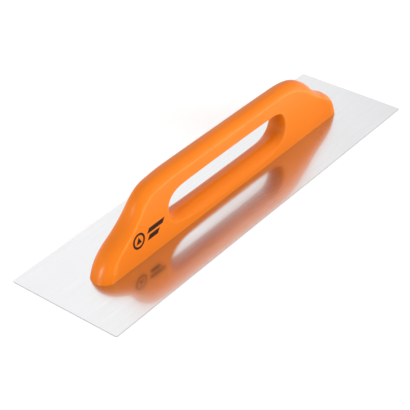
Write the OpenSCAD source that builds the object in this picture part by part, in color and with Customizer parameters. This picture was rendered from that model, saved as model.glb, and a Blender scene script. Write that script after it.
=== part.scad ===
// Long finishing trowel: a thin stainless blade with a closed-loop handle.
// The handle is two plastic shells, screwed together around an aluminium rail
// that is riveted to the blade. X runs along the blade, Y across it, Z is up,
// and the origin is under the middle of the blade.

/* [Blade] */
// Length of the blade
blade_l = 480; // [440:5:600]
// Width of the blade
blade_w = 130; // [90:5:180]
// Thickness of the blade
blade_t = 0.7; // [0.6:0.1:1.5]
// Radius of the blade's corners
blade_corner_r = 1.5; // [0.5:0.5:10]

/* [Handle] */
// Height of the grip's crest above the blade
grip_top = 76; // [72:1:82]
// Half of the handle's thickness at its base
base_half = 13.4; // [12.8:0.1:16]
// Half of the handle's thickness at the level of the grip's crest
crest_half = 9; // [8.6:0.1:11]
// Amount the half thickness loses from the middle of the handle to its tail
tail_taper = 0.6; // [0:0.1:1]

/* [Finger opening] */
// Front end of the opening
hole_front = -97.2; // [-99:0.1:-90]
// Rear end of the opening
hole_rear = 91.3; // [80:0.1:94]
// Height of the lower bar's crest above the blade
hole_low = 18; // [17:0.5:22]
// Height of the grip's underside above the blade
hole_high = 47.8; // [44:0.1:49]

/* [Mounting rail] */
// Length of the rail
rail_l = 330; // [300:5:340]
// Thickness of the rail's metal
rail_t = 1.6; // [1.2:0.1:2]
// Number of rivets through the rail
rivet_count = 8; // [4:1:10]
// Radius of a rivet's shank
rivet_r = 2; // [1.5:0.1:2.2]

/* [Screws] */
// Radius of a screw's shank
screw_r = 1.5; // [1.2:0.1:1.6]
// Radius of a screw's head
head_r = 3.1; // [2.8:0.1:3.3]

/* [Hidden] */
$fn = 48;

// Parts that touch without a fit are this far apart
gap = 0.05;
// Extra length that a cutting tool runs past what it cuts
over = 1;
// Level below the blade at which the handle's unfinished outline ends
cut_z = -20;
// Room round a screw's shank in the right shell, and above each screw's head
clearance = 0.3;
// Depth of the countersinks under the blade
flush_depth = 0.5;

// Middles of the rail and of the row of rivets
rail_x = -2;
rail_half_web = 7;
rail_half_flange = 9.7;
rail_h = 7.6;
rivet_pitch = (rail_l - 28) / (rivet_count - 1);
rivet_head_r = 3.5;
rivet_head_h = 1.3;
rivet_flush_r = 3;
rivet_edge = 0.4;
rivet_dome_r = 2;

// Lip of each shell that sits under the rail's flange
lip_low = 3;
lip_high = rail_h - rail_t - 0.2;
lip_reach = rail_half_web + 0.3;

// Screws: places [x, height above the blade], seat of the head, depth of the tip
nose_places = [[-166, 16], [-122, 51]];
grip_places = [[-58, 59], [4, 59], [66, 59]];
tail_places = [[117, 53], [168, 15]];
seat_y = 4.8;
head_h = 1.9;
end_tip_y = -8;
grip_tip_y = -6;
tip_h = 1.2;
tip_r = 0.4;
pilot_extra = 0.4;
bore_r = 3.6;
plug_r = 3.55;
plug_recess = 0.35;
boss_r = 4.6;

// Stiffening ribs inside the shells, and the lowest level of the pockets
ribs = [-145, -105, -27, 35, 98, 141];
rib_t = 1.6;
pocket_low = 8.2;
channel_half = 10.3;
// Pockets: wall left round the shallow one and round the deep one, their
// depths, and the height at which the deep one ends
shallow_wall = 5.2;
shallow_depth = 6.3;
deep_wall = 8.2;
deep_depth = 9.4;
deep_top = 44;

// Height and distance to the tail over which the sides lean in
lean_h = 75;
lean_l = 190;
// Most of the half thickness that an edge rounding may take
rounding_share = 0.98;
// Slight bow of the handle's long edges
bow = 0.4;
// Corners of the handle's side outline: [x, height, depth of the edge rounding].
// The outline touches the middle of each side of this polygon.
outline = [
    [-200.5, cut_z, 12], [-197.2, 5.5, 11], [-183, 25, 6.5], [-153, 40, 4],
    [-131.5, 71.5, 9], [-100, grip_top - bow, 11], [-80, grip_top, 12.5],
    [60, grip_top, 12.5], [112, grip_top - bow, 10], [139, 60.5, 8], [158, 40, 4.5],
    [176, 30.5, 4.5], [191.5, 16, 4.5], [196, cut_z, 4.5]
];
// Corners of the finger opening, in the same form
hole_outline = [
    [hole_rear - 35, hole_low - bow, 11.7], [hole_rear, hole_low, 3.5],
    [hole_rear, hole_high, 3.5], [hole_rear - 35, hole_high + bow, 4.6],
    [hole_front + 45, hole_high + bow, 4.6], [hole_front, hole_high, 3.5],
    [hole_front, hole_low, 3.5], [hole_front + 45, hole_low - bow, 11.7]
];
// Points along each corner's curve, and steps round each edge
corner_steps = 6;
edge_steps = 5;

// Half thickness of the handle at a point of its side: the sides lean in
// towards the grip and towards the tail, and are flat
function half_at(x, z) =
    base_half - tail_taper * x / lean_l - (base_half - crest_half) * z / lean_h;

// A point of the quadratic curve with corner b between a and c
function quad(a, b, c, t) = (1 - t) * (1 - t) * a + 2 * t * (1 - t) * b + t * t * c;

// Smooth line through an open polygon: it starts and ends at the end corners
function open_curve(p) = let (n = len(p)) concat(
    [for (i = [1 : n - 2], k = [0 : corner_steps - 1])
        let (a = i == 1 ? p[0] : (p[i - 1] + p[i]) / 2,
             c = i == n - 2 ? p[n - 1] : (p[i] + p[i + 1]) / 2)
        quad(a, p[i], c, k / corner_steps)],
    [p[n - 1]]);

// Smooth line round a closed polygon
function closed_curve(p) = let (n = len(p))
    [for (i = [0 : n - 1], k = [0 : corner_steps - 1])
        quad((p[(i + n - 1) % n] + p[i]) / 2, p[i], (p[i] + p[(i + 1) % n]) / 2,
             k / corner_steps)];

// Unit vector to the left of the line at point i
function left_of(p, i, closed) =
    let (n = len(p),
         a = closed ? p[(i + n - 1) % n] : p[max(i - 1, 0)],
         b = closed ? p[(i + 1) % n] : p[min(i + 1, n - 1)],
         d = [b[0] - a[0], b[1] - a[1]])
    [-d[1], d[0]] / norm(d);

// One ring of the handle's skin. The edge is an arc of depth p[i][2] across the
// thickness: part 0 is the ring on the parting plane, part 1 the one on the
// flat side, which short leaves that much nearer to the parting plane.
function ring(p, closed, part, short = 0) =
    [for (i = [0 : len(p) - 1])
        let (out = left_of(p, i, closed),
             round_in = p[i] - p[i][2] * [out[0], out[1], 0],
             depth = min(p[i][2], rounding_share * half_at(round_in[0], round_in[1])),
             half = half_at(p[i][0] - depth * out[0], p[i][1] - depth * out[1]),
             r = (half * half + depth * depth) / (2 * depth),
             a = part * asin(half / r),
             inset = part == 1 ? depth : r * (1 - cos(a)),
             x = p[i][0] - inset * out[0],
             z = p[i][1] - inset * out[1])
        [x, part == 1 ? short - half_at(x, z) : -r * sin(a), z]];

// Solid between rings of equal length, each closed by its first point. Seen
// from the first ring's end, looking at the last, the rings run anticlockwise.
module ring_solid(rings) {
    n = len(rings[0]);
    last = len(rings) - 1;
    polyhedron(
        points = [for (r = rings, q = r) q],
        faces = concat(
            [[for (i = [n - 1 : -1 : 0]) i]],
            [for (j = [0 : last - 1], i = [0 : n - 1])
                each [[j * n + i, (j + 1) * n + (i + 1) % n, (j + 1) * n + i],
                      [j * n + i, j * n + (i + 1) % n, (j + 1) * n + (i + 1) % n]]],
            [[for (i = [0 : n - 1]) last * n + i]]),
        convexity = 10);
}

// The same ring, moved across the handle
function shifted(r, dy) = [for (q = r) [q[0], q[1] + dy, q[2]]];

// Half of the handle's bulk on the -Y side, reaching below the blade
module bulk() {
    line = open_curve(outline);
    ring_solid([for (j = [0 : edge_steps]) ring(line, false, j / edge_steps)]);
}

// Half of the finger opening on the -Y side, with its rounded rim
module opening() {
    short = 0.2;
    past_side = 6;
    line = closed_curve(hole_outline);
    rings = [for (j = [edge_steps : -1 : 0]) ring(line, true, j / edge_steps, short)];
    ring_solid(concat([shifted(rings[0], -past_side)], rings,
                      [shifted(rings[edge_steps], over)]));
}

// The line, moved in by d and flattened
function inner_line(p, closed, d) =
    [for (i = [0 : len(p) - 1])
        let (out = left_of(p, i, closed)) [p[i][0] - d * out[0], p[i][1] - d * out[1]]];

// Children at each place, on the parting plane
module at_places(places) {
    for (p = places) translate([p[0], 0, blade_t + p[1]]) children();
}

// Cylinder along Y between two levels
module cross_cylinder(r, y0, y1) {
    translate([0, y1, 0]) rotate([90, 0, 0]) cylinder(r = r, h = y1 - y0);
}

// Pocket in one shell: margin is kept inside the outline and round the finger
// opening, and the bosses and ribs are left standing
module pocket(margin, depth, top) {
    translate([0, over, blade_t]) rotate([90, 0, 0]) linear_extrude(depth + over)
        difference() {
            intersection() {
                polygon(inner_line(open_curve(outline), false, margin));
                translate([-blade_l / 2, pocket_low]) square([blade_l, top - pocket_low]);
            }
            polygon(inner_line(closed_curve(hole_outline), true, margin));
            for (p = concat(nose_places, grip_places, tail_places))
                translate(p) circle(r = boss_r);
            for (x = ribs) translate([x - rib_t / 2, 0]) square([rib_t, 2 * grip_top]);
        }
}

// Room for the rail along the foot of one shell, with the lip left under it
module rail_room() {
    room = channel_half;
    translate([rail_x - rail_l / 2 - gap, 0, 0]) rotate([90, 0, 90])
        linear_extrude(rail_l + 2 * gap)
            polygon([[over, 0], [over, blade_t + pocket_low + gap],
                     [-room, blade_t + pocket_low + gap], [-room, blade_t + lip_high],
                     [-lip_reach, blade_t + lip_high], [-lip_reach, blade_t + lip_low],
                     [-room, blade_t + lip_low], [-room, 0]]);
}

// One plain half of the handle, on the -Y side
module half_shell() {
    difference() {
        translate([0, 0, blade_t]) bulk();
        translate([0, 0, blade_t]) opening();
        translate([-blade_l, -2 * base_half, -2 * grip_top])
            cube([2 * blade_l, 4 * base_half, 2 * grip_top + blade_t]);
        pocket(shallow_wall, shallow_depth, 2 * grip_top);
        pocket(deep_wall, deep_depth, deep_top);
        rail_room();
    }
}

// Screw holes of one shell: r is the hole's radius, y0 to y1 its stretch
module screw_holes(places, r, y0, y1) {
    at_places(places) cross_cylinder(r, y0, y1);
}

module blade() {
    color("gainsboro") difference() {
        linear_extrude(blade_t)
            translate([-blade_l / 2, -blade_w / 2])
                rounded_plate(blade_l, blade_w, blade_corner_r);
        at_rivets() {
            translate([0, 0, -over]) cylinder(r = rivet_r + gap, h = blade_t + 2 * over);
            translate([0, 0, -gap])
                cylinder(r1 = rivet_flush_r + gap, r2 = rivet_r + gap, h = flush_depth + gap);
        }
    }
}

// Rectangle with its corner at the origin and rounded corners
module rounded_plate(l, w, r) {
    translate([r, 0]) square([l - 2 * r, w]);
    translate([0, r]) square([l, w - 2 * r]);
    for (x = [r, l - r], y = [r, w - r]) translate([x, y]) circle(r = r);
}

module at_rivets() {
    for (i = [0 : rivet_count - 1])
        translate([rail_x + (i - (rivet_count - 1) / 2) * rivet_pitch, 0, 0]) children();
}

// Top-hat channel, open upwards, that carries the handle
module mounting_rail() {
    w = rail_half_web;
    f = rail_half_flange;
    t = rail_t;
    color("silver") difference() {
        translate([rail_x - rail_l / 2, 0, blade_t])
            rotate([90, 0, 90])
                linear_extrude(rail_l)
                    polygon([[-w, 0], [w, 0], [w, rail_h - t], [f, rail_h - t],
                             [f, rail_h], [w - t, rail_h], [w - t, t], [t - w, t],
                             [t - w, rail_h], [-f, rail_h], [-f, rail_h - t],
                             [-w, rail_h - t]]);
        at_rivets() cylinder(r = rivet_r + gap, h = 4 * rail_t);
    }
}

// Rivets, flush under the blade and domed inside the rail
module rail_rivets() {
    top = blade_t + rail_t;
    color("lightgray") at_rivets() rotate_extrude() {
        polygon([[0, 0], [rivet_flush_r, 0], [rivet_r, flush_depth], [rivet_r, top],
                 [rivet_head_r, top],
                 [rivet_head_r - rivet_edge, top + rivet_head_h - rivet_edge],
                 [rivet_dome_r, top + rivet_head_h], [0, top + rivet_head_h]]);
    }
}

// Shell on the -Y side, which the screws bite into
module left_shell() {
    color("darkorange") difference() {
        half_shell();
        screw_holes(concat(nose_places, tail_places), screw_r + gap,
                    end_tip_y - pilot_extra, over);
        screw_holes(grip_places, screw_r + gap, grip_tip_y - pilot_extra, over);
    }
}

// Shell on the +Y side, with a counterbore over each screw
module right_shell() {
    places = concat(nose_places, grip_places, tail_places);
    color("darkorange") difference() {
        mirror([0, 1, 0]) half_shell();
        screw_holes(places, screw_r + clearance, -over, seat_y + over);
        screw_holes(places, bore_r, seat_y, 2 * base_half);
    }
}

// Self-tapping screw with a pan head and a cross recess, seated on the +Y side
module screw(tip_y) {
    slot_l = 3.4;
    slot_w = 0.8;
    slot_h = 1.1;
    difference() {
        union() {
            cross_cylinder(screw_r, tip_y + tip_h, seat_y + over / 2);
            translate([0, tip_y + tip_h, 0]) rotate([90, 0, 0])
                cylinder(r1 = screw_r, r2 = tip_r, h = tip_h);
            cross_cylinder(head_r, seat_y, seat_y + head_h);
        }
        for (a = [0, 90])
            rotate([0, a, 0])
                translate([-slot_l / 2, seat_y + head_h - slot_h, -slot_w / 2])
                    cube([slot_l, slot_h + over, slot_w]);
    }
}

module nose_screws() {
    color("dimgray") at_places(nose_places) screw(end_tip_y);
}

module grip_screws() {
    color("dimgray") at_places(grip_places) screw(grip_tip_y);
}

module tail_screws() {
    color("dimgray") at_places(tail_places) screw(end_tip_y);
}

// Press-in plugs that close the counterbores just under the flat side
module plugs(places) {
    low = seat_y + head_h + clearance;
    color("darkorange")
        for (p = places)
            translate([p[0], 0, blade_t + p[1]])
                cross_cylinder(plug_r, low, half_at(p[0], p[1]) - plug_recess);
}

module nose_plugs() {
    plugs(nose_places);
}

module grip_plugs() {
    plugs(grip_places);
}

module tail_plugs() {
    plugs(tail_places);
}

// Plain printed mark on the flat of the left shell: a ring with a wedge in it,
// and two slanted bars
module side_print() {
    ink = 0.15;
    lean = atan((base_half - crest_half) / lean_h);
    turn = atan(tail_taper / lean_l);
    spot = [-146, 25];
    color("saddlebrown")
        translate([spot[0], -half_at(spot[0], spot[1]), blade_t + spot[1]])
            rotate([0, 0, turn]) rotate([90 - lean, 0, 0])
                linear_extrude(ink) mark();
}

// The mark's flat drawing, centred on its ring
module mark() {
    ring_r = 8.5;
    line_w = 2.3;
    wedge = [[-3.8, -2.8], [3.8, -2.8], [0, 4]];
    bar_x = 12;
    bar_h = 5;
    slant = 3.5;
    // Level and length of each bar
    bars = [[1, 23], [-6.5, 15]];
    difference() {
        circle(r = ring_r);
        circle(r = ring_r - line_w);
    }
    polygon(wedge);
    for (b = bars)
        translate([bar_x, b[0]])
            polygon([[0, 0], [b[1], 0], [b[1] + slant, bar_h], [slant, bar_h]]);
}

blade();
mounting_rail();
rail_rivets();
left_shell();
right_shell();
nose_screws();
grip_screws();
tail_screws();
nose_plugs();
grip_plugs();
tail_plugs();
side_print();
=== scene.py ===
"""Long finishing trowel: a thin steel blade with a closed-loop plastic handle.

X runs along the blade, Y across it and Z up, in metres, with the origin under
the middle of the blade.  The handle's two shells and its plugs are smooth
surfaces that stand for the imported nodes; the blade, the rail, the rivets, the
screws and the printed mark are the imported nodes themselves, with finishes.
"""

from __future__ import annotations

import logging
import math
from dataclasses import dataclass
from enum import Enum
from typing import Iterable, Sequence

import bmesh
import bpy
import numpy as np
from mathutils import Matrix, Vector


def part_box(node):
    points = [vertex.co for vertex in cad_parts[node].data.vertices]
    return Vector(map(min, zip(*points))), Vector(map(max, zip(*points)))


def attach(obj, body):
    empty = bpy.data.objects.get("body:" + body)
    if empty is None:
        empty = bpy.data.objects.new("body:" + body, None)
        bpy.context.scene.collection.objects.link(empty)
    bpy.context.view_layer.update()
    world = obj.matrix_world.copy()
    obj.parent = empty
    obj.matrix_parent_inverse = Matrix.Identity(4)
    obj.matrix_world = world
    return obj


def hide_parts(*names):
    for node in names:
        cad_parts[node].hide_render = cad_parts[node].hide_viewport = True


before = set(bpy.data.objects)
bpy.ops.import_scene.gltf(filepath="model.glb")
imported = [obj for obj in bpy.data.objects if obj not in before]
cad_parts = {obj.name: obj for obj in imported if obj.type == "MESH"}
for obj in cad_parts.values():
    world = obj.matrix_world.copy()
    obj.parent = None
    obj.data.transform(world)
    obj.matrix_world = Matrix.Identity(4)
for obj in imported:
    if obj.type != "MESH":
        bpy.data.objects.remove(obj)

LOG = logging.getLogger("trowel")
MM = 0.001
BODY = "root"

Colour = tuple[float, float, float]
Point = tuple[float, float, float]
Place = tuple[float, float]


class Side(Enum):
    """The side of the handle that a shell covers, as the sign of its Y."""

    LEFT = -1
    RIGHT = 1


class Slot(Enum):
    """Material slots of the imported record."""

    STEEL = "blade_steel"
    RAIL = "rail_aluminium"
    RIVET = "rivet_metal"
    PLASTIC = "handle_plastic"
    SCREW = "screw_steel"
    INK = "print_ink"


def linear(code: str) -> Colour:
    """Turn a six-digit screen colour into linear red, green and blue.

    Each channel c becomes c / 12.92 up to 0.04045 and
    ((c + 0.055) / 1.055) to the power 2.4 above it.

    Args:
        code: The colour as six hexadecimal digits.

    Returns:
        The linear colour.
    """
    values = [int(code[i : i + 2], 16) / 255 for i in (0, 2, 4)]
    return tuple(v / 12.92 if v <= 0.04045 else ((v + 0.055) / 1.055) ** 2.4 for v in values)


class Graph:
    """A material under construction: one Principled shader and the nodes that feed it."""

    def __init__(self, name: str) -> None:
        """Start the material with its shader, its output and its coordinates."""
        self.material = bpy.data.materials.new(name)
        self.material.use_nodes = True
        self.tree = self.material.node_tree
        self.tree.nodes.clear()
        self.shader = self.tree.nodes.new("ShaderNodeBsdfPrincipled")
        output = self.tree.nodes.new("ShaderNodeOutputMaterial")
        self.tree.links.new(self.shader.outputs[0], output.inputs["Surface"])
        self.coords = self.tree.nodes.new("ShaderNodeTexCoord")

    def set(self, **values: object) -> None:
        """Set sockets of the shader, named with underscores for spaces."""
        for name, value in values.items():
            socket = self.shader.inputs[name.replace("_", " ")]
            if isinstance(value, bpy.types.NodeSocket):
                self.tree.links.new(value, socket)
            else:
                socket.default_value = (*value, 1.0) if isinstance(value, tuple) else value

    def plug(self, node: bpy.types.Node, key: int | str, value: object) -> None:
        """Join a socket to an input of a node, or set the input to a number."""
        if isinstance(value, bpy.types.NodeSocket):
            self.tree.links.new(value, node.inputs[key])
        else:
            node.inputs[key].default_value = value

    def stretched(self, scale: Sequence[float]) -> bpy.types.NodeSocket:
        """Give the object's coordinates, stretched by a scale along each axis."""
        node = self.tree.nodes.new("ShaderNodeMapping")
        self.plug(node, "Vector", self.coords.outputs["Object"])
        node.inputs["Scale"].default_value = scale
        return node.outputs["Vector"]

    def noise(
        self, scale: float, detail: float = 2.0, stretch: Sequence[float] = (1, 1, 1)
    ) -> bpy.types.NodeSocket:
        """Add cloudy noise.

        Args:
            scale: Clouds to a metre.
            detail: Octaves of finer clouds.
            stretch: How dense the clouds are along X, Y and Z.

        Returns:
            The noise's value, from 0 to 1 and mostly near 0.5.
        """
        node = self.tree.nodes.new("ShaderNodeTexNoise")
        self.plug(node, "Vector", self.stretched(stretch))
        node.inputs["Scale"].default_value = scale
        node.inputs["Detail"].default_value = detail
        return node.outputs["Fac"]

    def spread(
        self,
        source: bpy.types.NodeSocket,
        low: float,
        high: float,
        start: float = 0.3,
        end: float = 0.7,
    ) -> bpy.types.NodeSocket:
        """Map a value that runs from start to end onto low to high, held at both ends."""
        node = self.tree.nodes.new("ShaderNodeMapRange")
        self.plug(node, "Value", source)
        for key, value in (("From Min", start), ("From Max", end), ("To Min", low), ("To Max", high)):
            node.inputs[key].default_value = value
        return node.outputs["Result"]

    def maths(self, kind: str, a: object, b: object) -> bpy.types.NodeSocket:
        """Join two values by one operation of the Math node."""
        node = self.tree.nodes.new("ShaderNodeMath")
        node.operation = kind
        self.plug(node, 0, a)
        self.plug(node, 1, b)
        return node.outputs[0]

    def blend(self, share: object, a: object, b: object) -> bpy.types.NodeSocket:
        """Mix colour a with colour b by a share of b."""
        node = self.tree.nodes.new("ShaderNodeMix")
        node.data_type = "RGBA"
        self.plug(node, 0, share)
        for key, value in ((6, a), (7, b)):
            self.plug(node, key, (*value, 1.0) if isinstance(value, tuple) else value)
        return node.outputs[2]

    def bump(self, *layers: tuple[bpy.types.NodeSocket, float]) -> None:
        """Raise the surface by layers of (height from 0 to 1, relief in metres)."""
        below = None
        for height, relief in layers:
            node = self.tree.nodes.new("ShaderNodeBump")
            node.inputs["Strength"].default_value = 1.0
            node.inputs["Distance"].default_value = relief
            self.plug(node, "Height", height)
            if below is not None:
                self.plug(node, "Normal", below)
            below = node.outputs["Normal"]
        self.set(Normal=below)

    def attribute(self, name: str) -> bpy.types.NodeSocket:
        """Read a value that the mesh carries at its points."""
        node = self.tree.nodes.new("ShaderNodeAttribute")
        node.attribute_name = name
        return node.outputs["Fac"]

    def facing_up(self) -> bpy.types.NodeSocket:
        """Give the upward share of the surface's own normal, from -1 to 1."""
        node = self.tree.nodes.new("ShaderNodeSeparateXYZ")
        self.plug(node, 0, self.coords.outputs["Normal"])
        return node.outputs["Z"]


@dataclass(frozen=True)
class MouldedPlastic:
    """Semi-gloss moulded plastic with a fine grain and faintly polished edges, paler along the
    creases: partly wear, partly a painted highlight.
    """

    name: str
    body: Colour = linear("E67502")
    shade: Colour = linear("E07000")
    # Pale orange of the specks, and of the creases, where it is partly wear and partly a painted
    # highlight of the light crease line.
    edge: Colour = linear("EE8C30")
    roughness: float = 0.3
    specular: float = 0.3
    cloud_share: float = 0.7
    speck_share: float = 0.16
    # Spread of the pale crease colour, which is partly wear and partly a painted highlight.
    wear_and_highlight_spread: tuple[float, float] = (0.25, 0.8)
    scuff: float = 0.07
    polish: float = 0.08
    waviness: float = 0.00018
    grain: float = 0.000012

    def build(self) -> bpy.types.Material:
        """Make the material: cloudy colour, pale edges along the creases that are partly wear and
        partly a painted highlight, satin grain and hairline scuffs.
        """
        g = Graph(self.name)
        clouds = g.noise(scale=18, detail=3)
        specks = g.noise(scale=1400, detail=2)
        scuffs = g.noise(scale=260, detail=4, stretch=(0.12, 1, 1.6))
        colour = g.blend(g.spread(clouds, 0, self.cloud_share), self.body, self.shade)
        colour = g.blend(g.spread(specks, 0, self.speck_share), colour, self.edge)
        # Paler colour along the creases: partly wear, partly a painted highlight; the same mask also
        # makes them a little glossier.
        patchy = g.spread(g.noise(scale=90, detail=3), *self.wear_and_highlight_spread)
        wear_and_highlight = g.maths("MULTIPLY", g.attribute("edge"), patchy)
        colour = g.blend(wear_and_highlight, colour, self.edge)
        rough = g.spread(clouds, self.roughness - 0.03, self.roughness + 0.05)
        rough = g.maths("ADD", rough, g.spread(scuffs, 0, self.scuff, start=0.52, end=0.72))
        rough = g.maths("SUBTRACT", rough, g.maths("MULTIPLY", wear_and_highlight, self.polish))
        g.set(Base_Color=colour, Roughness=rough, IOR=1.5, Specular_IOR_Level=self.specular)
        g.bump((clouds, self.waviness), (g.noise(scale=2600, detail=2), self.grain))
        return g.material


@dataclass(frozen=True)
class BrushedSteel:
    """Ground stainless sheet: fine dull lines along X, mirror-like between them, rougher cut edges,
    darkened in colour as painted shade.
    """

    name: str
    bright: Colour = (0.61, 0.61, 0.62)
    dull: Colour = (0.53, 0.535, 0.545)
    # Dark colour of the upright cut edges: painted shade of the dark line along the blade's edges.
    cut: Colour = (0.24, 0.245, 0.25)
    roughness: float = 0.23
    cut_dullness: float = 0.2
    gloss: float = 0.07
    gloss_index: float = 2.1
    relief: float = 0.000001

    def build(self) -> bpy.types.Material:
        """Make the material: long brushed lines in colour, gloss and relief, and rougher cut edges
        with painted shade in their colour.
        """
        g = Graph(self.name)
        fine = g.noise(scale=2600, detail=2, stretch=(0.01, 1, 1))
        broad = g.noise(scale=300, detail=3, stretch=(0.02, 1, 1))
        clouds = g.noise(scale=9, detail=3)
        face = g.blend(g.spread(fine, 0, 0.55), self.bright, self.dull)
        face = g.blend(g.spread(broad, 0, 0.25), face, self.dull)
        flat = g.spread(g.maths("ABSOLUTE", g.facing_up(), 0.0), 0, 1, start=0.5, end=0.9)
        rough = g.spread(fine, self.roughness - 0.02, self.roughness + 0.03)
        rough = g.maths("ADD", rough, g.spread(clouds, -0.02, 0.03))
        dull = g.maths("MULTIPLY", g.maths("SUBTRACT", 1.0, flat), self.cut_dullness)
        rough = g.maths("ADD", rough, dull)
        # Upright edge faces take the dark cut colour: painted shade along the blade's edges.
        g.set(Base_Color=g.blend(flat, self.cut, face), Roughness=rough, Metallic=1.0)
        g.set(Coat_Weight=1.0, Coat_Roughness=self.gloss, Coat_IOR=self.gloss_index)
        g.bump((broad, 4 * self.relief), (fine, self.relief))
        return g.material


@dataclass(frozen=True)
class BareMetal:
    """Plain bare metal of small parts: cloudy tarnish and fine tool lines."""

    name: str
    bright: Colour
    dull: Colour
    roughness: float
    lines: Sequence[float] = (1, 1, 1)
    relief: float = 0.000006

    def build(self) -> bpy.types.Material:
        """Make the material: tarnish clouds, tool lines in gloss and relief."""
        g = Graph(self.name)
        lines = g.noise(scale=1800, detail=2, stretch=self.lines)
        clouds = g.noise(scale=160, detail=3)
        colour = g.blend(g.spread(clouds, 0, 1), self.bright, self.dull)
        rough = g.spread(lines, self.roughness - 0.06, self.roughness + 0.08)
        g.set(Base_Color=colour, Roughness=rough, Metallic=1.0)
        g.bump((lines, self.relief))
        return g.material


@dataclass(frozen=True)
class PadPrintInk:
    """Dark pad-printed ink: a little uneven where the pad pressed lightly."""

    name: str
    full: Colour = linear("2A120A")
    thin: Colour = linear("4A2212")
    roughness: float = 0.42
    specular: float = 0.25
    relief: float = 0.000008

    def build(self) -> bpy.types.Material:
        """Make the material: ink that thins in specks, over the plastic's grain."""
        g = Graph(self.name)
        specks = g.noise(scale=1500, detail=3)
        colour = g.blend(g.spread(specks, 0, 1, start=0.5, end=0.75), self.full, self.thin)
        g.set(Base_Color=colour, Roughness=g.spread(specks, self.roughness, self.roughness + 0.12))
        g.set(Specular_IOR_Level=self.specular)
        g.bump((specks, self.relief))
        return g.material


@dataclass(frozen=True)
class StudioPaper:
    """Matt white sheet of the studio floor, lit a little from below."""

    name: str
    sheet: Colour = (0.95, 0.95, 0.95)
    fibre: Colour = (0.935, 0.935, 0.935)
    glow: float = 0.27

    def build(self) -> bpy.types.Material:
        """Make the material: faint paper fibres."""
        g = Graph(self.name)
        fibres = g.noise(scale=220, detail=3)
        g.set(Base_Color=g.blend(g.spread(fibres, 0, 1), self.sheet, self.fibre), Roughness=0.9)
        g.set(Emission_Color=self.sheet, Emission_Strength=self.glow)
        return g.material


def new_piece(
    name: str,
    points: np.ndarray,
    faces: np.ndarray,
    material: bpy.types.Material,
    nodes: Iterable[str],
    edge: np.ndarray | None = None,
) -> bpy.types.Object:
    """Put points and four-cornered faces into a mesh that rides on the body.

    Args:
        name: The piece's name.
        points: Points, one row each, in metres.
        faces: Point numbers of each face, anticlockwise from outside.
        material: The piece's finish.
        nodes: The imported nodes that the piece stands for.
        edge: How near each point is to a crease, from 0 to 1.

    Returns:
        The piece.
    """
    mesh = bpy.data.meshes.new(name)
    mesh.vertices.add(len(points))
    mesh.vertices.foreach_set("co", points.astype(np.float32).ravel())
    mesh.loops.add(faces.size)
    mesh.loops.foreach_set("vertex_index", faces.astype(np.int32).ravel())
    mesh.polygons.add(len(faces))
    mesh.polygons.foreach_set("loop_start", np.arange(0, faces.size, faces.shape[1], dtype=np.int32))
    mesh.update(calc_edges=True)
    if edge is not None:
        layer = mesh.attributes.new("edge", "FLOAT", "POINT")
        layer.data.foreach_set("value", edge.astype(np.float32).ravel())
    mesh.validate()
    mesh.materials.append(material)
    piece = bpy.data.objects.new(name, mesh)
    bpy.context.scene.collection.objects.link(piece)
    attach(piece, BODY)
    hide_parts(*nodes)
    LOG.info("%s: %d faces, stands for %s", name, len(mesh.polygons), ", ".join(nodes))
    return piece


def soften(piece: bpy.types.Object, sharpest: float) -> None:
    """Shade a piece smooth, with breaks where faces turn by more than sharpest degrees."""
    piece.data.polygons.foreach_set("use_smooth", np.ones(len(piece.data.polygons), bool))
    piece.data.set_sharp_from_angle(angle=math.radians(sharpest))


def lathe(profile: np.ndarray, steps: int) -> tuple[np.ndarray, np.ndarray]:
    """Carry a profile round an axis along Y.

    A point of the profile at (radius, level), turned by an angle, stands at
    (radius * cos angle, level, radius * sin angle).  The first and last points
    lie on the axis, so their rings shrink to one point each.

    Args:
        profile: Rows of (radius, level), from the outer pole to the inner one.
        steps: Points round the axis.

    Returns:
        The points, and the faces as rows of four point numbers.
    """
    turn = np.linspace(0, 2 * math.pi, steps, endpoint=False)
    radius, level = profile[1:-1, 0][:, None], profile[1:-1, 1][:, None]
    grid = np.stack([radius * np.cos(turn), level + 0 * turn, radius * np.sin(turn)], -1)
    poles = np.array([[0, profile[0, 1], 0], [0, profile[-1, 1], 0]])
    points = np.concatenate([grid.reshape(-1, 3), poles])
    j, i = np.meshgrid(np.arange(len(radius) - 1), np.arange(steps), indexing="ij")
    after = (i + 1) % steps
    near, far = j * steps, (j + 1) * steps
    faces = np.stack([near + i, near + after, far + after, far + i], -1)
    return points, faces.reshape(-1, 4)


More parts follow.
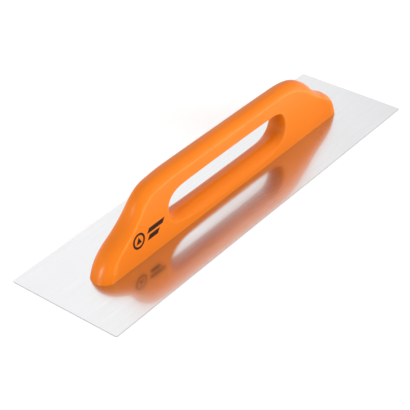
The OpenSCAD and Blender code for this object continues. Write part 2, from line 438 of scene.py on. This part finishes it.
@dataclass(frozen=True)
class Handle:
    """The two shells of the closed-loop handle and the plugs in the right one.

    Sizes are in millimetres; heights are above the blade.  Each corner of the
    outline and of the opening is (x, height, depth of the edge rounding), and
    the line touches the middle of each side of its polygon.  Each facing is a
    place (x, height) near the outline and the place near the opening that it
    is joined to.  A plug's dish is (share of its radius, dip).
    """

    base_half: float = 13.4
    crest_half: float = 9.0
    tail_taper: float = 0.6
    lean_height: float = 75
    lean_length: float = 190
    rounding_share: float = 0.98
    foot_lift: float = 0.9
    crease: float = 0.8
    foot: float = 0.5
    # Share of the pale crease colour on the opening's rim, which is partly wear and partly a painted
    # highlight.
    rim_wear_and_highlight: float = 0.35
    sharpest: float = 40
    nose_screws: tuple[Place, ...] = ((-166, 16), (-122, 51))
    grip_screws: tuple[Place, ...] = ((-58, 59), (4, 59), (66, 59))
    tail_screws: tuple[Place, ...] = ((117, 53), (168, 15))
    seat: float = 4.8
    bore: float = 3.6
    clear_hole: float = 1.8
    pilot: float = 1.55
    end_depth: float = 8.4
    grip_depth: float = 6.4
    channel_ends: tuple[float, float] = (-167.05, 163.05)
    channel_half: float = 10.3
    channel_top: float = 8.25
    lip_reach: float = 7.3
    lip: tuple[float, float] = (3.0, 5.8)
    past: float = 1
    merge: float = 0.002
    plug: float = 3.55
    plug_recess: float = 0.35
    plug_start: float = 2.2
    plug_edge: float = 0.4
    plug_chamfer: float = 0.3
    plug_dish: tuple[Place, ...] = ((0, 0.25), (0.3, 0.23), (0.62, 0.12), (0.8, 0))
    plug_sharpest: float = 45
    outline: tuple[Point, ...] = (
        (-200.5, -20, 12), (-197.2, 5.5, 11), (-183, 25, 6.5), (-153, 40, 4),
        (-131.5, 71.5, 9), (-100, 75.6, 11), (-80, 76, 12.5), (60, 76, 12.5),
        (112, 75.6, 10), (139, 60.5, 8), (158, 40, 4.5), (176, 30.5, 4.5),
        (191.5, 16, 4.5), (196, -20, 4.5),
    )
    opening: tuple[Point, ...] = (
        (56.3, 17.6, 11.7), (91.3, 18, 3.5), (91.3, 47.8, 3.5), (56.3, 48.2, 4.6),
        (-52.2, 48.2, 4.6), (-97.2, 47.8, 3.5), (-97.2, 18, 3.5), (-52.2, 17.6, 11.7),
    )
    facing: tuple[tuple[Place, Place], ...] = (
        ((-160, 37), (-95, 33)), ((-112, 74), (-84, 47)),
        ((112, 74), (80, 47)), ((158, 42), (90, 33)),
    )
    opening_front: Place = (-84, 19)
    opening_rear: Place = (80, 19)
    loop_steps: int = 420
    foot_steps: int = 150
    arc_steps: int = 16
    crease_steps: int = 6
    flat_steps: int = 14
    round_steps: int = 64

    def half_at(self, x: np.ndarray, z: np.ndarray) -> np.ndarray:
        """Half thickness: it falls evenly with height and towards the tail."""
        lean = (self.base_half - self.crest_half) / self.lean_height
        return self.base_half - self.tail_taper * x / self.lean_length - lean * z

    @staticmethod
    def curve(corners: np.ndarray, closed: bool, steps: int = 60) -> np.ndarray:
        """Draw the smooth line of a polygon of corners.

        Between the middles a and c of the sides next to corner b it is
        (1 - t) squared times a, plus 2 t (1 - t) times b, plus t squared times c.

        Args:
            corners: Rows of (x, height, depth).
            closed: Whether the line is a loop.
            steps: Points to a corner.

        Returns:
            Points of the line, each a row of (x, height, depth).
        """
        b = corners if closed else corners[1:-1]
        before = np.roll(corners, 1, 0) if closed else corners[:-2]
        after = np.roll(corners, -1, 0) if closed else corners[2:]
        a, c = (before + b) / 2, (after + b) / 2
        if not closed:
            a[0], c[-1] = corners[0], corners[-1]
        t = np.linspace(0, 1, steps, endpoint=False)[None, :, None]
        line = (1 - t) ** 2 * a[:, None] + 2 * t * (1 - t) * b[:, None] + t**2 * c[:, None]
        return line.reshape(-1, 3) if closed else np.concatenate([line.reshape(-1, 3), corners[-1:]])

    @staticmethod
    def spaced(line: np.ndarray, at: np.ndarray) -> np.ndarray:
        """Read a line at shares of its length, from 0 to 1."""
        run = np.concatenate([[0], np.cumsum(np.linalg.norm(np.diff(line[:, :2], axis=0), axis=1))])
        return np.stack([np.interp(at * run[-1], run, line[:, k]) for k in range(line.shape[1])], -1)

    @staticmethod
    def left(line: np.ndarray, closed: bool) -> np.ndarray:
        """Give the unit vector to the left of the line at each of its points."""
        step = np.roll(line, -1, 0) - np.roll(line, 1, 0) if closed else np.gradient(line, axis=0)
        turned = np.stack([-step[:, 1], step[:, 0]], -1)
        return turned / np.linalg.norm(turned, axis=1, keepdims=True)

    def rounded(self, place: np.ndarray, out: np.ndarray, share: np.ndarray) -> np.ndarray:
        """Round the edge between the parting plane and the flat side.

        With depth d and half thickness h at the flat, the section is an arc of
        radius r = (h squared + d squared) / (2 d) that leaves the parting plane
        squarely: at angle a it is r (1 - cos a) inside the line and r sin a
        away from the plane, up to the angle whose sine is h / r.  Near the flat
        side the arc is swapped for a small curve that also touches the flat.

        Args:
            place: Rows of (x, height, depth) on the parting plane.
            out: Unit vectors outwards from the plastic.
            share: Shares of the arc, from 0 at the plane to 1 at the flat.

        Returns:
            Points in (station, share, xyz), with Y away from the plane.
        """
        inner = place[:, :2] - place[:, 2:3] * out
        most = self.rounding_share * self.half_at(inner[:, 0], inner[:, 1])
        depth = np.minimum(place[:, 2], most)
        foot = place[:, :2] - depth[:, None] * out
        half = self.half_at(foot[:, 0], foot[:, 1])
        radius = (half**2 + depth**2) / (2 * depth)
        angle = share[None] * np.arcsin(half / radius)[:, None]
        inset = radius[:, None] * (1 - np.cos(angle))
        level = radius[:, None] * np.sin(angle)
        flat = place[:, None, :2] - inset[..., None] * out[:, None]
        return np.stack([flat[..., 0], level, flat[..., 1]], -1)

    @staticmethod
    def corner(before: np.ndarray, tip: np.ndarray, after: np.ndarray, steps: int) -> np.ndarray:
        """Round a corner off between two points by a curve that aims at its tip.

        The curve is (1 - t) squared times before, plus 2 t (1 - t) times tip,
        plus t squared times after.

        Args:
            before: Points where the curve starts, one row a station.
            tip: The sharp corners.
            after: Points where the curve ends.
            steps: Points on each curve.

        Returns:
            Points in (station, step, xyz).
        """
        t = np.linspace(0, 1, steps)[None, :, None]
        return (1 - t) ** 2 * before[:, None] + 2 * t * (1 - t) * tip[:, None] + t**2 * after[:, None]

    def stations(self) -> tuple[np.ndarray, np.ndarray, np.ndarray, np.ndarray, np.ndarray]:
        """Pair places round the outline with places round the finger opening.

        Near the blade the outward vectors are held level, so that the rounded
        edge never reaches below the blade's upper face.

        Returns:
            The outline's places above the blade, their outward vectors, the
            opening's places, their outward vectors, and the shares along the foot.
        """
        line = self.curve(np.array(self.outline, float), False)
        above = line[line[:, 1] > 0]
        ends = [self.crossing(line, 0), self.crossing(line, -1)]
        whole = np.concatenate([ends[:1], above, ends[1:]])
        loop = self.spaced(whole, np.linspace(0, 1, self.loop_steps))
        out = self.left(loop[:, :2], False)
        out[:, 1] = np.minimum(out[:, 1], self.foot_lift * loop[:, 1] / loop[:, 2])
        out /= np.linalg.norm(out, axis=1, keepdims=True)
        out[0], out[-1] = (-1, 0), (1, 0)
        hole = self.curve(np.array(self.opening, float), True)
        hole = np.concatenate([hole, hole[:1]])
        marks, goals = self.matches(loop, hole)
        count = self.loop_steps + self.foot_steps
        at = np.interp(np.arange(count), marks, goals) % 1.0
        places = self.spaced(hole, at)
        beside = 0.002
        after, before = self.spaced(hole, (at + beside) % 1.0), self.spaced(hole, (at - beside) % 1.0)
        ahead = after[:, :2] - before[:, :2]
        inward = np.stack([-ahead[:, 1], ahead[:, 0]], -1)
        inward /= np.linalg.norm(inward, axis=1, keepdims=True)
        foot = np.linspace(0, 1, self.foot_steps + 2)[1:-1]
        return loop, out, places, inward, foot

    @staticmethod
    def crossing(line: np.ndarray, which: int) -> np.ndarray:
        """Give the first (0) or last (-1) point where the line meets the blade."""
        signs = np.sign(line[:, 1])
        i = np.nonzero(signs[1:] != signs[:-1])[0][which]
        t = line[i, 1] / (line[i, 1] - line[i + 1, 1])
        return line[i] + t * (line[i + 1] - line[i])

    def matches(self, loop: np.ndarray, hole: np.ndarray) -> tuple[list[float], list[float]]:
        """Match corners of the outline with corners of the opening.

        Args:
            loop: The outline's places, from the nose to the tail.
            hole: The opening's line, anticlockwise from its rear lower side.

        Returns:
            Station numbers, and the shares round the opening that they face.
        """
        run = np.concatenate([[0], np.cumsum(np.linalg.norm(np.diff(hole[:, :2], axis=0), axis=1))])
        share = run / run[-1]

        def near(line: np.ndarray, place: Place) -> int:
            """Give the number of the line's point that is nearest to a place."""
            return int(np.argmin(((line[:, :2] - place) ** 2).sum(1)))

        pairs = [
            (0, share[near(hole, self.opening_front)]),
            *((near(loop, there), share[near(hole, here)]) for there, here in self.facing),
            (self.loop_steps - 1, share[near(hole, self.opening_rear)]),
            (self.loop_steps + self.foot_steps, share[near(hole, self.opening_front)]),
        ]
        marks = [float(p[0]) for p in pairs]
        goals = [float(pairs[0][1])]
        for _, goal in pairs[1:]:
            step = (goals[-1] - goal) % 1.0
            goals.append(goals[-1] - step)
        return marks, goals

    def section_grid(self) -> tuple[np.ndarray, np.ndarray]:
        """Work out the skin of one shell as rings of points.

        Each station's section starts on the parting plane at the outline, runs
        over the rounded edge, the crease, the flat side, the crease and the
        rounded rim of the opening, and comes back along the parting plane.  At
        the stations along the foot the first stretch is the flat underside.

        Returns:
            Points in (station, step, xyz) with Y away from the plane, in
            millimetres above the blade, and how near each is to a crease.
        """
        loop, out, places, inward, foot = self.stations()
        share = np.linspace(0, 1, self.arc_steps)
        outer = self.rounded(loop, out, share)
        start, stop = outer[0], outer[-1]
        base = stop[None] + (start - stop)[None] * foot[:, None, None]
        base[..., 1] = self.half_at(base[:, -1, 0], 0)[:, None] * share[None]
        outer = np.concatenate([outer, base])
        rim = self.rounded(places, inward, share)[:, ::-1]
        on_foot = np.arange(len(outer)) >= self.loop_steps
        size = np.where(on_foot, self.foot, self.crease)
        across = rim[:, 0] - outer[:, -1]
        length = np.linalg.norm(across, axis=1, keepdims=True)
        tip_a, tip_b = outer[:, -1].copy(), rim[:, 0].copy()
        after_a = tip_a + across / length * size[:, None]
        before_b = tip_b - across / length * self.crease
        outer, before_a = self.shortened(outer, size)
        rim_back, after_b = self.shortened(rim[:, ::-1], np.full(len(rim), self.crease))
        t = np.linspace(0, 1, self.flat_steps + 2)[None, 1:-1, None]
        flat = after_a[:, None] + (before_b - after_a)[:, None] * t
        crease_a = self.corner(before_a, tip_a, after_a, self.crease_steps)
        crease_b = self.corner(before_b, tip_b, after_b, self.crease_steps)
        rim = rim_back[:, ::-1]
        thirds = np.array([1 / 3, 2 / 3])[None, :, None]
        plane = rim[:, -1][:, None] + (outer[:, 0] - rim[:, -1])[:, None] * thirds
        plane[..., 1] = 0
        grid = np.concatenate([outer, crease_a, flat, crease_b, rim, plane], 1)
        grid[:, 0, 1] = 0
        # Nearness to a crease, which the plastic turns into a paler colour: partly wear, partly a
        # painted highlight.
        near = np.zeros(grid.shape[:2])
        n, m = self.arc_steps - 1, self.crease_steps
        near[:, n : n + m] = 1
        near[:, n + m + self.flat_steps : n + 2 * m + self.flat_steps] = self.rim_wear_and_highlight
        return grid, near

    def shortened(self, arcs: np.ndarray, size: np.ndarray) -> tuple[np.ndarray, np.ndarray]:
        """End each arc a given length before its tip and space its points evenly.

        Args:
            arcs: Points in (station, step, xyz), ending at the sharp corner.
            size: Length to leave before the corner, one for each station.

        Returns:
            The arcs without their last point, and the points where they end.
        """
        steps = np.linalg.norm(np.diff(arcs, axis=1), axis=2).sum(1)
        stop = 1 - size / steps
        at = np.linspace(0, 1, arcs.shape[1])[None] * stop[:, None] * (arcs.shape[1] - 1)
        low = np.minimum(at.astype(int), arcs.shape[1] - 2)
        part = (at - low)[..., None]
        row = np.arange(len(arcs))[:, None]
        fresh = arcs[row, low] * (1 - part) + arcs[row, low + 1] * part
        return fresh[:, :-1], fresh[:, -1]

    def shell_mesh(self, side: Side, level: float) -> tuple[np.ndarray, np.ndarray, np.ndarray]:
        """Join the sections into a closed skin.

        Args:
            side: The side that the shell covers.
            level: Height of the blade's upper face, in metres.

        Returns:
            Points in metres, faces of four points, and nearness to a crease.
        """
        grid, near = self.section_grid()
        rows, steps = grid.shape[:2]
        points = grid.reshape(-1, 3) * MM
        points[:, 1] *= side.value
        points[:, 2] += level
        i, j = np.meshgrid(np.arange(rows), np.arange(steps), indexing="ij")
        right, up = (i + 1) % rows, (j + 1) % steps
        faces = np.stack([i * steps + j, right * steps + j, right * steps + up, i * steps + up], -1)
        faces = faces.reshape(-1, 4)
        return points, faces if side is Side.RIGHT else faces[:, ::-1], near

    def build_shell(self, side: Side, finish: MouldedPlastic, level: float) -> bpy.types.Object:
        """Make one shell, with the rail's channel and the screws' holes cut out of it.

        Args:
            side: The side that the shell covers.
            finish: The plastic.
            level: Height of the blade's upper face, in metres.

        Returns:
            The shell.
        """
        name = side.name.lower()
        points, faces, near = self.shell_mesh(side, level)
        piece = new_piece(
            f"handle_{name}", points, faces, finish.build(), [f"{name}_shell"], near
        )
        self.cut(piece, self.channel(side, level))
        for places, profile in self.pins(side):
            points, faces = lathe(np.array(profile), self.round_steps)
            self.cut(piece, self.spread_copies("pins", points, faces, places, level))
        soften(piece, self.sharpest)
        return piece

    def pins(self, side: Side) -> list[tuple[tuple[Place, ...], list[Place]]]:
        """List the screws' holes in one shell as profiles of (radius, Y) to lathe.

        In the right shell a hole is a counterbore down to the head's seat and a
        clearance hole below it; in the left shell it is a blind pilot hole.

        Args:
            side: The side that the shell covers.

        Returns:
            Pairs of places and the profile of the pin that cuts the holes.
        """
        past, ends = self.past, self.nose_screws + self.tail_screws
        if side is Side.RIGHT:
            wide, slim, top = self.bore, self.clear_hole, 2 * self.base_half
            bore = [(0, top), (wide, top), (wide, self.seat)]
            return [(ends + self.grip_screws, bore + [(slim, self.seat), (slim, -past), (0, -past)])]
        r = self.pilot
        return [
            (places, [(0, past), (r, past), (r, -deep), (0, -deep)])
            for places, deep in ((ends, self.end_depth), (self.grip_screws, self.grip_depth))
        ]

    def channel(self, side: Side, level: float) -> bpy.types.Object:
        """Make the cutter for the rail's room: one profile across, carried along X.

        Args:
            side: The side that the shell covers.
            level: Height of the blade's upper face, in metres.

        Returns:
            The cutter.
        """
        room, lip, past = self.channel_half, self.lip_reach, self.past
        low, high = self.lip
        across = np.array([
            (-past, -past), (-past, self.channel_top), (room, self.channel_top), (room, high),
            (lip, high), (lip, low), (room, low), (room, -past),
        ])
        ends = np.array(self.channel_ends)
        grid = np.empty((2, len(across), 3))
        grid[..., 0] = ends[:, None]
        grid[..., 1] = side.value * across[:, 0]
        grid[..., 2] = across[:, 1]
        points = grid.reshape(-1, 3) * MM + (0, 0, level)
        count = len(across)
        i = np.arange(count)
        after = (i + 1) % count
        quads = np.stack([i, after, count + after, count + i], -1).tolist()
        caps = [i[::-1].tolist(), (count + i).tolist()]
        faces = quads + caps if side is Side.LEFT else [f[::-1] for f in quads + caps]
        mesh = bpy.data.meshes.new("channel")
        mesh.from_pydata(points.tolist(), [], faces)
        made = bpy.data.objects.new("channel", mesh)
        bpy.context.scene.collection.objects.link(made)
        return made

    @staticmethod
    def spread_copies(
        name: str, points: np.ndarray, faces: np.ndarray, places: Sequence[Place], level: float
    ) -> bpy.types.Object:
        """Stand copies of a lathed form, closed at its poles, at several places.

        Args:
            name: The object's name.
            points: Points of the form in millimetres, its two poles last.
            faces: Its faces of four points.
            places: (x, height) of each copy.
            level: Height of the blade's upper face, in metres.

        Returns:
            The object with all the copies.
        """
        shifts = np.array([[x, 0, z] for x, z in places])
        many = (points[None] + shifts[:, None]) * MM
        many[..., 2] += level
        steps = Handle.round_steps
        ring = np.arange(steps)
        last = len(points) - 2 - steps
        caps = np.concatenate([
            np.stack([(ring + 1) % steps, ring, 0 * ring + len(points) - 2], -1),
            np.stack([last + ring, last + (ring + 1) % steps, 0 * ring + len(points) - 1], -1),
        ])
        start = np.arange(len(places))[:, None, None] * len(points)
        quads = (faces[None] + start).reshape(-1, 4)
        ends = (caps[None] + start).reshape(-1, 3)
        mesh = bpy.data.meshes.new(name)
        mesh.from_pydata(many.reshape(-1, 3).tolist(), [], quads.tolist() + ends.tolist())
        mesh.validate()
        made = bpy.data.objects.new(name, mesh)
        bpy.context.scene.collection.objects.link(made)
        return made

    def cut(self, piece: bpy.types.Object, cutter: bpy.types.Object) -> None:
        """Cut the cutter's solids out of a piece and remove the cutter.

        The cut can leave a slit along a sliver of a face, so close points are
        merged and any face that is missing is filled in.

        Args:
            piece: The piece, whose mesh is replaced.
            cutter: Closed solids.
        """
        cutting = piece.modifiers.new("cutting", "BOOLEAN")
        cutting.operation = "DIFFERENCE"
        cutting.object = cutter
        cutting.solver = "EXACT"
        bpy.context.view_layer.update()
        graph = bpy.context.evaluated_depsgraph_get()
        mesh = bpy.data.meshes.new_from_object(piece.evaluated_get(graph))
        piece.modifiers.clear()
        merged = bmesh.new()
        merged.from_mesh(mesh)
        bmesh.ops.remove_doubles(merged, verts=merged.verts, dist=self.merge * MM)
        open_edges = [edge for edge in merged.edges if edge.is_boundary]
        bmesh.ops.holes_fill(merged, edges=open_edges, sides=0)
        merged.to_mesh(mesh)
        merged.free()
        old, piece.data = piece.data, mesh
        bpy.data.meshes.remove(old)
        bpy.data.objects.remove(cutter)
        mesh.name = piece.name

    def build_plugs(
        self, group: str, places: Sequence[Place], finish: MouldedPlastic, level: float
    ) -> bpy.types.Object:
        """Make the press-in plugs over one group of screws.

        Each is a lathed button: a face that dips in its middle, a rounded rim,
        and a plain shank down to the screw.

        Args:
            group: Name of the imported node.
            places: (x, height) of each plug.
            finish: The plastic.
            level: Height of the blade's upper face, in metres.

        Returns:
            The plugs as one piece.
        """
        r, edge, chamfer = self.plug, self.plug_edge, self.plug_chamfer
        low = self.seat + self.plug_start
        top = float(min(self.half_at(x, z) for x, z in places)) - self.plug_recess
        turn = np.linspace(0, math.pi / 2, 6)
        dish = np.array([(share * r, top - dip) for share, dip in self.plug_dish])
        rim = np.stack([r - edge + edge * np.sin(turn), top - edge + edge * np.cos(turn)], -1)
        shank = np.array([[r, low + chamfer], [r - chamfer, low], [0, low]])
        points, faces = lathe(np.concatenate([dish, rim, shank]), self.round_steps)
        made = self.spread_copies(f"{group}_buttons", points, faces, places, level)
        made.data.materials.append(finish.build())
        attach(made, BODY)
        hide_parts(group)
        soften(made, self.plug_sharpest)
        LOG.info("%s: %d faces, stands for %s", made.name, len(made.data.polygons), group)
        return made


def dress(node: str, finish: bpy.types.Material) -> None:
    """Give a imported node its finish."""
    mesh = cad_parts[node].data
    mesh.materials.clear()
    mesh.materials.append(finish)
    LOG.info("%s: finished as %s", node, finish.name)


@dataclass(frozen=True)
class Plate:
    """The blade, with the rail and the rivets that hold it to the handle."""

    steel: BrushedSteel = BrushedSteel("brushed_stainless")
    rail: BareMetal = BareMetal(
        "mill_aluminium", (0.82, 0.83, 0.84), (0.7, 0.71, 0.73), 0.32, (0.02, 1, 1)
    )
    rivets: BareMetal = BareMetal("rivet_aluminium", (0.78, 0.78, 0.79), (0.62, 0.62, 0.63), 0.38)

    def dress_all(self) -> None:
        """Finish the blade, the rail and the rivets."""
        dress("blade", self.steel.build())
        dress("mounting_rail", self.rail.build())
        dress("rail_rivets", self.rivets.build())


@dataclass(frozen=True)
class Fittings:
    """The screws inside the handle and the mark printed on its side."""

    zinc: BareMetal = BareMetal("zinc_plated_steel", (0.66, 0.67, 0.69), (0.5, 0.5, 0.53), 0.3)
    ink: PadPrintInk = PadPrintInk("dark_pad_print")

    def dress_all(self) -> None:
        """Finish the screws and the printed mark."""
        zinc = self.zinc.build()
        for node in ("nose_screws", "grip_screws", "tail_screws"):
            dress(node, zinc)
        dress("side_print", self.ink.build())


@dataclass(frozen=True)
class Softbox:
    """One rectangular soft light: sizes in metres, power in watts."""

    name: str
    place: Point
    aim: Point
    size: tuple[float, float]
    power: float
    tint: Colour = (1, 1, 1)
    mirrored: bool = True

    def hang(self) -> None:
        """Hang the light, turned towards its aim."""
        data = bpy.data.lights.new(self.name, "AREA")
        data.shape, data.size, data.size_y = "RECTANGLE", *self.size
        data.energy, data.color = self.power, self.tint
        made = bpy.data.objects.new(self.name, data)
        look = Vector(self.aim) - Vector(self.place)
        turned = look.to_track_quat("-Z", "Y").to_matrix().to_4x4()
        made.matrix_world = Matrix.Translation(Vector(self.place)) @ turned
        made.visible_glossy = self.mirrored
        bpy.context.scene.collection.objects.link(made)


@dataclass(frozen=True)
class Studio:
    """Floor, lights and camera of a plain white product studio."""

    azimuth: float = -51.163
    elevation: float = 35.808
    roll: float = -1.212
    aim: tuple[float, float] = (-0.035949, -0.004491)
    distance: float = 1.30118
    lens: float = 113.09
    sensor: float = 36
    floor_half: float = 4.0
    floor_drop: float = 0.0002
    bright_side: Point = (0.5, 0.62, 0.6)
    start: float = 0.84
    full: float = 0.995
    fill: float = 0.62
    glow: float = 1.42
    key: Softbox = Softbox(
        "key", (0.75, -1.85, 0.4), (0, 0, 0.03), (1.5, 0.8), 34, (1, 0.99, 0.97), mirrored=False
    )
    strip: Softbox = Softbox("strip", (-1.2, 0.05, 0.3), (-0.19, 0, 0.02), (0.22, 0.5), 5.5)

    def camera(self, level: float) -> None:
        """Set the camera, aimed at a point on the blade's upper face.

        Args:
            level: Height of that face, in metres.
        """
        a, e, r = (math.radians(v) for v in (self.azimuth, self.elevation, self.roll))
        back = Vector((math.sin(a) * math.cos(e), -math.cos(a) * math.cos(e), math.sin(e)))
        right = (-back).cross(Vector((0, 0, 1))).normalized()
        up = back.cross(right)
        across = right * math.cos(r) + up * math.sin(r)
        above = up * math.cos(r) - right * math.sin(r)
        data = bpy.data.cameras.new("camera")
        data.lens, data.sensor_width = self.lens, self.sensor
        data.clip_start, data.clip_end = 0.05, 50
        made = bpy.data.objects.new("camera", data)
        made.matrix_world = Matrix.Translation(
            Vector((*self.aim, level)) + back * self.distance
        ) @ Matrix((across, above, back)).transposed().to_4x4()
        bpy.context.scene.collection.objects.link(made)
        bpy.context.scene.camera = made

    def floor(self) -> None:
        """Lay the floor just under the blade."""
        h, z = self.floor_half, -self.floor_drop
        mesh = bpy.data.meshes.new("floor")
        mesh.from_pydata([(-h, -h, z), (h, -h, z), (h, h, z), (-h, h, z)], [], [(0, 1, 2, 3)])
        mesh.materials.append(StudioPaper("studio_paper").build())
        made = bpy.data.objects.new("floor", mesh)
        bpy.context.scene.collection.objects.link(made)

    def tent(self) -> bpy.types.World:
        """Make the white tent, which is brightest on one side.

        With c the cosine between a direction and the bright side's, the light
        goes evenly from fill, at c up to start, to glow, at c from full.

        Returns:
            The world.
        """
        world = bpy.data.worlds.new("white_tent")
        world.use_nodes = True
        tree = world.node_tree
        coords = tree.nodes.new("ShaderNodeTexCoord")
        dot = tree.nodes.new("ShaderNodeVectorMath")
        dot.operation = "DOT_PRODUCT"
        dot.inputs[1].default_value = Vector(self.bright_side).normalized()
        spread = tree.nodes.new("ShaderNodeMapRange")
        spread.interpolation_type = "SMOOTHSTEP"
        limits = (self.start, self.full, self.fill, self.glow)
        for key, value in zip(("From Min", "From Max", "To Min", "To Max"), limits):
            spread.inputs[key].default_value = value
        tree.links.new(coords.outputs["Generated"], dot.inputs[0])
        tree.links.new(dot.outputs["Value"], spread.inputs["Value"])
        tree.links.new(spread.outputs["Result"], tree.nodes["Background"].inputs["Strength"])
        tree.nodes["Background"].inputs["Color"].default_value = (1, 1, 1, 1)
        return world

    def lights(self) -> None:
        """Light the room: a white tent all round, a key from the right and a strip by the nose."""
        bpy.context.scene.world = self.tent()
        self.key.hang()
        self.strip.hang()
        bpy.context.scene.view_settings.view_transform = "Standard"

    def build(self, level: float) -> None:
        """Set up the floor, the lights and the camera."""
        self.floor()
        self.lights()
        self.camera(level)


def main() -> None:
    """Build every piece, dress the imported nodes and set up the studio."""
    logging.basicConfig(level=logging.INFO, format="%(message)s")
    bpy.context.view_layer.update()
    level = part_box("blade")[1].z
    handle = Handle()
    plastic = MouldedPlastic("orange_plastic")
    for side in Side:
        handle.build_shell(side, plastic, level)
    for group, places in (
        ("nose_plugs", handle.nose_screws),
        ("grip_plugs", handle.grip_screws),
        ("tail_plugs", handle.tail_screws),
    ):
        handle.build_plugs(group, places, plastic, level)
    Plate().dress_all()
    Fittings().dress_all()
    Studio().build(level)


if __name__ == "__main__":
    main()
